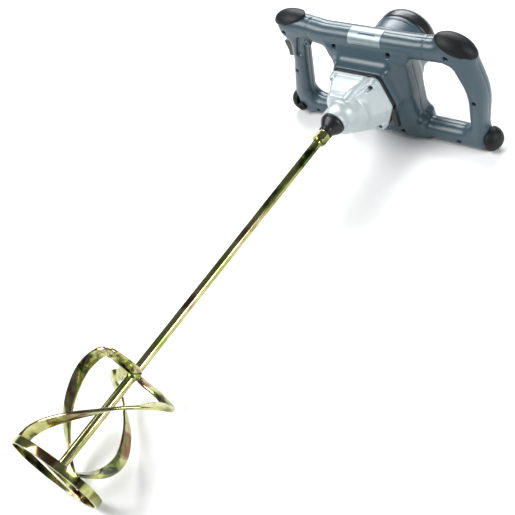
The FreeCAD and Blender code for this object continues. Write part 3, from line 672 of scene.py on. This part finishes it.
def lathe(name, profile, centre, material, segments=96, smoothAngle=35):
    # turns a list of (radius, y) about the line along Y through the centre, which is (x, z)
    corners = []
    rings = []
    for radius, y in profile:
        if radius < 1e-6:
            rings.append([len(corners)])
            corners.append((centre[0], y, centre[1]))
            continue
        rings.append(list(range(len(corners), len(corners) + segments)))
        for index in range(segments):
            angle = 2 * math.pi * index / segments
            corners.append((centre[0] + radius * math.cos(angle), y, centre[1] + radius * math.sin(angle)))
    faces = []
    for first, last in zip(rings, rings[1:]):
        for index in range(segments):
            after = (index + 1) % segments
            ring = [first[index % len(first)], first[after % len(first)], last[after % len(last)],
                    last[index % len(last)]]
            faces.append(list(dict.fromkeys(ring)))
    return addPiece(name, closedMesh(name, corners, faces), material, smoothAngle)


def rounded(corners, radius, steps=5):
    # a profile with each inner corner turned into an arc
    points = [corners[0]]
    for before, here, after in zip(corners, corners[1:], corners[2:]):
        here = Vector(here)
        toBefore, toAfter = Vector(before) - here, Vector(after) - here
        reach = min(radius, 0.45 * toBefore.length, 0.45 * toAfter.length)
        start = here + toBefore.normalized() * reach
        end = here + toAfter.normalized() * reach
        for step in range(steps + 1):
            share = step / steps
            points.append(tuple(start.lerp(here, share).lerp(here.lerp(end, share), share)))
    return points + [corners[-1]]


motor = {"radius": 45, "front": -6, "back": 68, "capRadius": 44.6, "capShoulder": 85, "capEnd": 94.7}
barrelProfile = rounded([
    (0, motor["front"]), (44.9, motor["front"]), (44.9, 61), (44.0, 62), (44.0, 63.2),
    (motor["radius"], 64), (motor["radius"], motor["back"]), (0, motor["back"])], 0.8)
motorBarrel = lathe("motor_barrel", barrelProfile, (0, motorHeight), finishes["body_plastic"], 128)
hand(motorBarrel, "machine", "body_plastic", "field_housing")
capEnd = motor["capEnd"]
capProfile = rounded([
    (0, motor["back"]), (motor["capRadius"], motor["back"]), (motor["capRadius"], motor["capShoulder"]),
    (37, capEnd), (30, capEnd - 0.2), (29, capEnd - 2.6), (14, capEnd - 2.6), (13, capEnd),
    (0, capEnd)], 5, 6)
motorCap = lathe("motor_cap", capProfile, (0, motorHeight), finishes["black_plastic"], 128)
hand(motorCap, "machine", "black_plastic", "motor_end_cap")


fin = {"count": 24, "halfThickness": 0.9, "foot": capEnd - 3.2, "top": capEnd - 0.3}


def capFin():
    # a flat fin standing on the cap's back between two radii
    ends = [(fin["foot"], 14.5), (fin["top"], 15.2), (fin["top"], 28.2), (fin["foot"], 29)]
    corners = [(side, y, z) for side in (-fin["halfThickness"], fin["halfThickness"]) for y, z in ends]
    faces = [(0, 1, 2, 3), (7, 6, 5, 4)] + [(k, k + 4, (k + 1) % 4 + 4, (k + 1) % 4) for k in range(4)]
    return closedMesh("cap_fin", corners, faces)


fins = layOut("cap_fins", ringTree(), [], capFin(), finishes["black_plastic"], {"Count": fin["count"]})
fins.data.transform(toolToRow @ Matrix.Translation((0, 0, motorHeight)) @ toolToRow.inverted())
hand(fins, "machine", "black_plastic")

bush = {"radius": 7.4, "bore": 2.9, "place": (10 - foot, floorLine + 16), "face": -housing["depth"]}
glandProfile = rounded([
    (0, -6), (bush["radius"], -6), (bush["radius"], bush["face"] - 1), (6.2, bush["face"] - 4.5),
    (3.4, bush["face"] - 5.5), (bush["bore"], bush["face"] - 3), (0, bush["face"] - 3)], 1.6)
gland = lathe("gland_bush", glandProfile, bush["place"], finishes["rubber"], 64)
hand(gland, "machine", "rubber", "cable_gland")

spindleProfile = rounded([
    (0, -104), (9, -104), (9, -112.5), (17, -112.5), (16.6, -117), (12, -124), (10, -127.5), (9.8, -130),
    (9.8, -133), (0, -133)], 1.2)
noseEnd = lathe("spindle_nose", spindleProfile, (0, 0), finishes["black_metal"], 96)
hand(noseEnd, "paddle", "black_metal", "spindle")

adapter = {"halfFlats": 8.5, "radius": 10.4, "back": -133.2, "front": -149.8}
nutProfile = rounded([
    (0, adapter["back"]), (8.2, adapter["back"]), (8.2, -134), (adapter["radius"], -136),
    (adapter["radius"], -147), (8.4, adapter["front"]), (0, adapter["front"])], 0.8)
nut = lathe("adapter_nut", nutProfile, (0, 0), finishes["zinc_yellow"], 72)
for vertex in nut.data.vertices:     # presses the round nut in to six flats
    place = toolToRow.inverted() @ vertex.co
    angle = math.atan2(place.z, place.x)
    flats = adapter["halfFlats"] / math.cos((angle + math.pi / 6) % (math.pi / 3) - math.pi / 6)
    reach = math.hypot(place.x, place.z)
    if reach > flats:
        vertex.co = toolToRow @ Vector((place.x * flats / reach, place.y, place.z * flats / reach))
hand(nut, "paddle", "zinc_yellow", "hex_adapter")

hoop = {"inner": 56.5, "outer": 60, "back": -676, "front": -686}
shaft = {"radius": 6, "collar": 6.6, "back": -149, "end": -680}
rodProfile = rounded([
    (0, shaft["back"]), (shaft["collar"], shaft["back"]), (shaft["collar"], -151.5),
    (shaft["radius"], -153), (shaft["radius"], hoop["back"]), (5.2, shaft["end"]), (0, shaft["end"])], 0.8)
rodPiece = lathe("mixing_rod", rodProfile, (0, 0), finishes["zinc_yellow"], 48)
hand(rodPiece, "paddle", "zinc_yellow", "paddle_rod")
ringSeam = (hoop["inner"], hoop["back"] - 1)     # the profile starts and ends on the ring's inner face
ringRound = rounded([
    (hoop["inner"], hoop["back"] - 0.6), (hoop["outer"], hoop["back"]), (hoop["outer"], hoop["front"]),
    (hoop["inner"], hoop["front"]), (hoop["inner"], hoop["back"] - 0.6)], 0.9)
ring = lathe("mixing_ring", [ringSeam, *ringRound[1:], ringSeam], (0, 0), finishes["zinc_yellow"], 160)
hand(ring, "paddle", "zinc_yellow", "bottom_ring")
print("stage: turned pieces")


gearCase = {"flangeBack": -44, "flangeFront": -50.5, "shoulder": -88, "noseFront": -112, "noseRadius": 18.6,
            "coneBack": -80, "coneLength": 24, "coneRadius": 33,
            "bossRadius": 7, "bossFront": -57, "holeRadius": 3.4, "spindleHole": 15.6, "step": 0.9}


def caseField(x, y, z):
    flatX, flatZ = np.broadcast_arrays(x, z)
    flange = outlineDistance(flatX, flatZ, flangeOutline)
    back, front, shoulder = gearCase["flangeBack"], gearCase["flangeFront"], gearCase["shoulder"]
    shape = slab(flange, y, back, front, 1.4)
    # the body is the flange's outline, drawn in towards the shoulder
    share = np.clip((front - y) / (front - shoulder), 0, 1.1)
    narrow = 1 - 0.52 * share
    upright = np.where(z > 0, 1 - 0.08 * share, 1 - 0.42 * share)
    bodyX, bodyZ = (x / narrow / 0.95) + 0 * z, (z / upright / 0.95) + 0 * x
    body = outlineDistance(bodyX, bodyZ, flangeOutline) * narrow
    shape = softMin(shape, slab(body, y, -45, shoulder, 1.8), 1.5)
    fall = np.clip((gearCase["coneBack"] - y) / gearCase["coneLength"], 0, 1)
    wide = gearCase["coneRadius"]
    coneRadius = wide - (wide - gearCase["noseRadius"]) * np.sin(fall * math.pi / 2) ** 0.8
    cone = np.hypot(x, z + 7 * (1 - fall)) - coneRadius
    cone = softMax(cone * 0.8, slab(flange - 30, y, -62, gearCase["noseFront"], 1.5), 2)
    shape = softMin(shape, cone, 4)
    belly = rod(x, y, z, (0, -60, -34), (0, -92, -20), 22, 14)
    shape = softMin(shape, belly, 8)
    channel = rod(x, y, z, (22, -46, 33), (12, -92, 25), 6.5, 6)
    shape = softMax(shape, -channel, 1)
    for place in caseBosses:
        boss = barrel(x, y, z, place, gearCase["bossRadius"], -45, gearCase["bossFront"], 1.4)
        hole = barrel(x, y, z, place, gearCase["holeRadius"], -51, -80, 0.3)
        shape = softMax(softMin(shape, boss, 1.5), -hole, 0.6)
    shape = np.maximum(shape, y - back)
    return softMax(shape, -barrel(x, y, z, (0, 0), gearCase["spindleHole"], -108, -130, 0.5), 0.8)


caseShell = skin("gear_case_shell", caseField, (-56, -118, -70), (56, -41, 36), gearCase["step"],
                 finishes["die_cast"], 2)
hand(caseShell, "machine", "die_cast", "gear_case")
print("stage: gear case", len(caseShell.data.polygons))


# the three mixing ribbons
ribbon = {"count": 3, "start": 93, "turn": 176, "hub": -542, "width": 15, "thickness": 4, "sections": 140,
          "twistFrom": 0.30, "twistOver": 0.20}
# middle line from hub to ring, as shares of the ring's radius, of the turn and of the way to the ring
ribbonStations = [
    (0.12, -0.29, 0.0), (0.5, -0.05, 0.02), (0.83, -0.03, 0.05), (0.94, 0.02, 0.08), (0.87, 0.13, 0.16),
    (0.79, 0.33, 0.35), (0.78, 0.49, 0.53), (0.8, 0.67, 0.72), (0.83, 0.84, 0.88), (0.86, 1.0, 1.0),
]


def between(a, b, c, d, u):
    # a smooth curve from b to c that leaves and arrives in the directions of its neighbours a and d
    bend = (2 * a - 5 * b + 4 * c - d) * u * u
    return 0.5 * (2 * b + (c - a) * u + bend + (3 * b - a - 3 * c + d) * u ** 3)


def ribbonPoint(t):
    # middle line of a ribbon, t from 0 at the rod to 1 at the ring
    last = len(ribbonStations) - 1
    index = min(int(t * last), last - 1)
    near = [ribbonStations[min(max(index + k, 0), last)] for k in (-1, 0, 1, 2)]
    reach, turn, fall = [between(*shares, t * last - index) for shares in zip(*near)]
    radius = reach * hoop["outer"]
    angle = math.radians(ribbon["start"] + ribbon["turn"] * turn)
    y = ribbon["hub"] + (hoop["back"] - ribbon["hub"]) * fall
    return Vector((radius * math.cos(angle), y, radius * math.sin(angle)))


def ribbonMesh(name, turned):
    # a flat bar with its edges broken, which lies aslant at the hub and twists on to its way round
    corners, faces = [], []
    edge = [(-0.5, -0.22), (-0.47, -0.42), (-0.40, -0.5), (0.40, -0.5), (0.47, -0.42), (0.5, -0.22),
            (0.5, 0.22), (0.47, 0.42), (0.40, 0.5), (-0.40, 0.5), (-0.47, 0.42), (-0.5, 0.22)]
    turn = Matrix.Rotation(-turned, 3, "Y")
    count = ribbon["sections"]
    start = math.radians(ribbon["start"])
    slant = Vector((0, -0.8, 0)) + Vector((math.sin(start), 0, -math.cos(start))) * 0.6
    for index in range(count + 1):
        t = index / count
        here = ribbonPoint(t)
        along = (ribbonPoint(min(1, t + 0.02)) - ribbonPoint(max(0, t - 0.02))).normalized()
        outward = Vector((here.x, 0, here.z)).normalized()
        blend = min(1.0, max(0.0, (t - ribbon["twistFrom"]) / ribbon["twistOver"]))
        blend = blend * blend * (3 - 2 * blend)
        auger = outward.cross(along)
        if auger.y > 0:
            auger = -auger
        face = slant * (1 - blend) + auger * blend
        face = (face - along * face.dot(along)).normalized()
        across = face.cross(along)
        for a, b in edge:
            corner = here + across * a * ribbon["width"] + face * b * ribbon["thickness"]
            corners.append(turn @ corner)
    sides = len(edge)
    for index in range(count):
        for side in range(sides):
            after = (side + 1) % sides
            faces.append((index * sides + side, index * sides + after, (index + 1) * sides + after,
                          (index + 1) * sides + side))
    faces.append(tuple(range(sides))[::-1])
    faces.append(tuple(range(count * sides, (count + 1) * sides)))
    return closedMesh(name, corners, faces)


eachTurn = 360 // ribbon["count"]
for index in range(ribbon["count"]):
    name = "mixing_ribbon_%d" % (index + 1)
    piece = addPiece(name, ribbonMesh(name, math.radians(eachTurn * index)), finishes["zinc_yellow"], 40)
    hand(piece, "paddle", "zinc_yellow", "ribbon_%d" % (index + 1))


weld = {"hubReach": 9.5, "hubBead": (3.8, 2.8, 3.8), "ringBead": (4.2, 3.0, 4.2), "hubRipple": 0.25,
        "ringRipple": 0.3, "hubStep": 0.6, "ringStep": 0.7}


def ripple(x, y, z):
    return np.sin(x * 2.1) * np.sin(y * 1.7) * np.sin(z * 1.9)


def hubWeldField(x, y, z):
    # a rough sleeve round the rod, with a bead at the root of each ribbon
    hub, reach = ribbon["hub"], weld["hubReach"]
    shape = rod(x, y, z, (0, hub + 3, 0), (0, hub - 4, 0), 7.2, 7.0)
    for index in range(ribbon["count"]):
        angle = math.radians(ribbon["start"] - 20 + eachTurn * index)
        spot = (reach * math.cos(angle), hub - 1, reach * math.sin(angle))
        shape = softMin(shape, ellipsoid(x, y, z, spot, weld["hubBead"]), 2.5)
    return shape + weld["hubRipple"] * ripple(x, y, z)


hubWeld = skin("hub_weld", hubWeldField, (-18, ribbon["hub"] - 18, -18), (18, ribbon["hub"] + 16, 18),
               weld["hubStep"], finishes["zinc_yellow"], 2)
hand(hubWeld, "paddle", "zinc_yellow")


def ringWeldField(x, y, z):
    # a bead where each ribbon meets the ring and where the cross bar's ends meet it
    shape = 1e3 + 0 * (x + y + z)
    end = ribbon["start"] + ribbon["turn"]
    beads = [(end + eachTurn * index, hoop["inner"] - 2, hoop["back"] - 1)
             for index in range(ribbon["count"])]
    beads += [(end + turn, hoop["inner"] - 1, hoop["back"] - 6) for turn in (4, 184)]
    for turn, radius, place in beads:
        angle = math.radians(turn)
        spot = (radius * math.cos(angle), place, radius * math.sin(angle))
        shape = np.minimum(shape, ellipsoid(x, y, z, spot, weld["ringBead"]))
    return shape + weld["ringRipple"] * ripple(x, y, z)


ringWeld = skin("ring_welds", ringWeldField, (-62, -687, -62), (62, -671, 62), weld["ringStep"],
                finishes["zinc_yellow"], 1)
hand(ringWeld, "paddle", "zinc_yellow")
print("stage: paddle")


key = {"low": (-147, -8, 2.5), "high": (-134, 8, 29.5), "rounding": 1.8, "fingerX": -170, "fingerZ": 14,
       "fingerRadius": 24.5, "step": 0.7}


def triggerField(x, y, z):
    # a block with a hollow for the finger
    shape = block(x, y, z, key["low"], key["high"], key["rounding"])
    finger = np.hypot(x - key["fingerX"], z - key["fingerZ"]) - key["fingerRadius"]
    return softMax(shape, -finger, 2)


trigger = skin("trigger_key", triggerField, (-152, -11, -1), (-130, 11, 33), key["step"],
               finishes["black_plastic"], 2)
hand(trigger, "trigger", "black_plastic", "trigger")
print("stage: trigger")


# floor, light and camera
studio = {"halfFloor": 9.0, "worldColour": (0.90, 0.95, 1.0), "worldStrength": 0.16}
floorMesh = bpy.data.meshes.new("studio_floor")
half = studio["halfFloor"]
floorCorners = [(-half, -half, 0), (half, -half, 0), (half, half, 0), (-half, half, 0)]
floorMesh.from_pydata(floorCorners, [], [(0, 1, 2, 3)])
floor = bpy.data.objects.new("studio_floor", floorMesh)
bpy.context.scene.collection.objects.link(floor)
floorBoard = Board("paleFloor")
floorColour = floorBoard.mix(floorBoard.noise(3), (0.88, 0.88, 0.88), (0.93, 0.93, 0.93))
floorMesh.materials.append(floorBoard.shade(Base_Color=floorColour, Roughness=0.9))

world = bpy.data.worlds.new("studio")
world.use_nodes = True
world.node_tree.nodes["Background"].inputs["Color"].default_value = (*studio["worldColour"], 1)
world.node_tree.nodes["Background"].inputs["Strength"].default_value = studio["worldStrength"]
bpy.context.scene.world = world
bpy.context.scene.view_settings.view_transform = "Standard"


def softBox(name, place, target, width, height, power):
    light = bpy.data.lights.new(name, "AREA")
    light.shape = "RECTANGLE"
    light.size, light.size_y, light.energy = width, height, power
    lamp = bpy.data.objects.new(name, light)
    lamp.location = place
    lamp.rotation_euler = (Vector(target) - Vector(place)).to_track_quat("-Z", "Y").to_euler()
    bpy.context.scene.collection.objects.link(lamp)


softBox("key_box", (-0.9, -0.9, 1.7), (0, 0, 0.1), 1.3, 1.3, 50)
softBox("back_box", (-0.6, 1.5, 1.2), (0, 0.1, 0.1), 1.4, 0.7, 40)
softBox("side_box", (1.8, 0.3, 0.9), (0, 0.1, 0.1), 0.8, 0.8, 22)

# the camera's place in the tool's millimetres, its angles in degrees and its lens
view = {"place": (703.99, -786.35, 797.64), "azimuth": 56.35, "elevation": 44.96, "roll": -27.02,
        "lens": 65.26}
azimuth, elevation, roll = (math.radians(view[word]) for word in ("azimuth", "elevation", "roll"))
backward = Vector((math.sin(azimuth) * math.cos(elevation), -math.cos(azimuth) * math.cos(elevation),
                   math.sin(elevation)))
level = (-backward).cross(Vector((0, 0, 1))).normalized()
upright = level.cross(-backward)
rightward = level * math.cos(roll) + upright * math.sin(roll)
upward = upright * math.cos(roll) - level * math.sin(roll)
cameraTurn = toolAxes @ Matrix((rightward, upward, backward)).transposed()
cameraData = bpy.data.cameras.new("studio_camera")
cameraData.sensor_width = 36
cameraData.lens = view["lens"]
camera = bpy.data.objects.new("studio_camera", cameraData)
camera.matrix_world = Matrix.Translation(toolToRow @ Vector(view["place"])) @ cameraTurn.to_4x4()
bpy.context.scene.collection.objects.link(camera)
bpy.context.scene.camera = camera
print("stage: studio")
